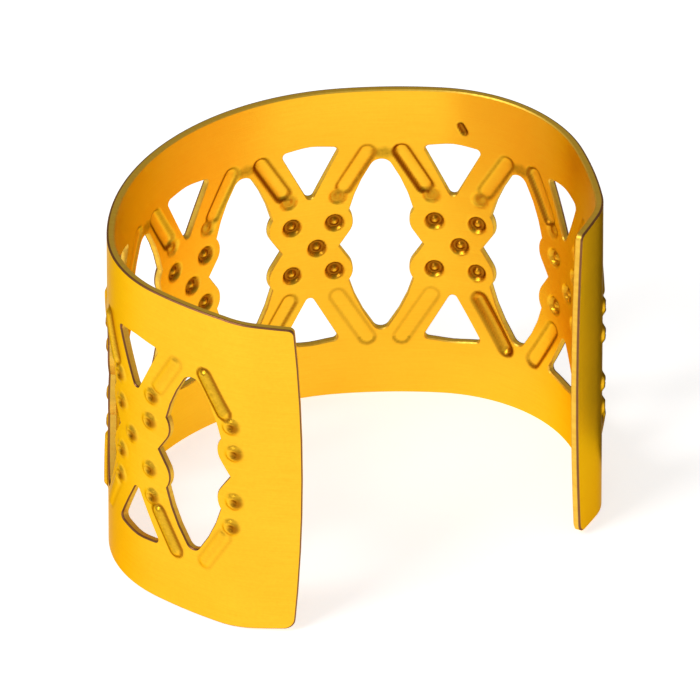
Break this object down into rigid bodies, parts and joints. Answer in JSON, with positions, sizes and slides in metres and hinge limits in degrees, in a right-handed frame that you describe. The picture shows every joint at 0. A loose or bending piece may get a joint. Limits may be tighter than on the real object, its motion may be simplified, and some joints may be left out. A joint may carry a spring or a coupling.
{
  "type": "hair cuff bead",
  "caption": "Opened hair cuff of thin gold-coloured sheet, pierced with ovals and triangles and pressed with dots and ribs, bent to a C round a braid.",
  "frame": {"origin": "middle of the plan of the bent strip, on the surface that its lower rim rests on", "axes": "+Z along the braid, from the lower rim to the upper rim; +X along the longer side of the plan, toward the free end of the right bend; -Y toward the front, where the mouth is open"},
  "size_m": [0.0124, 0.011, 0.009],
  "materials": {
    "gold_anodising": "satin gold anodising over lightly brushed sheet"
  },
  "bodies": {
    "root": {"cuff": "gold_anodising"}
  },
  "joints": []
}
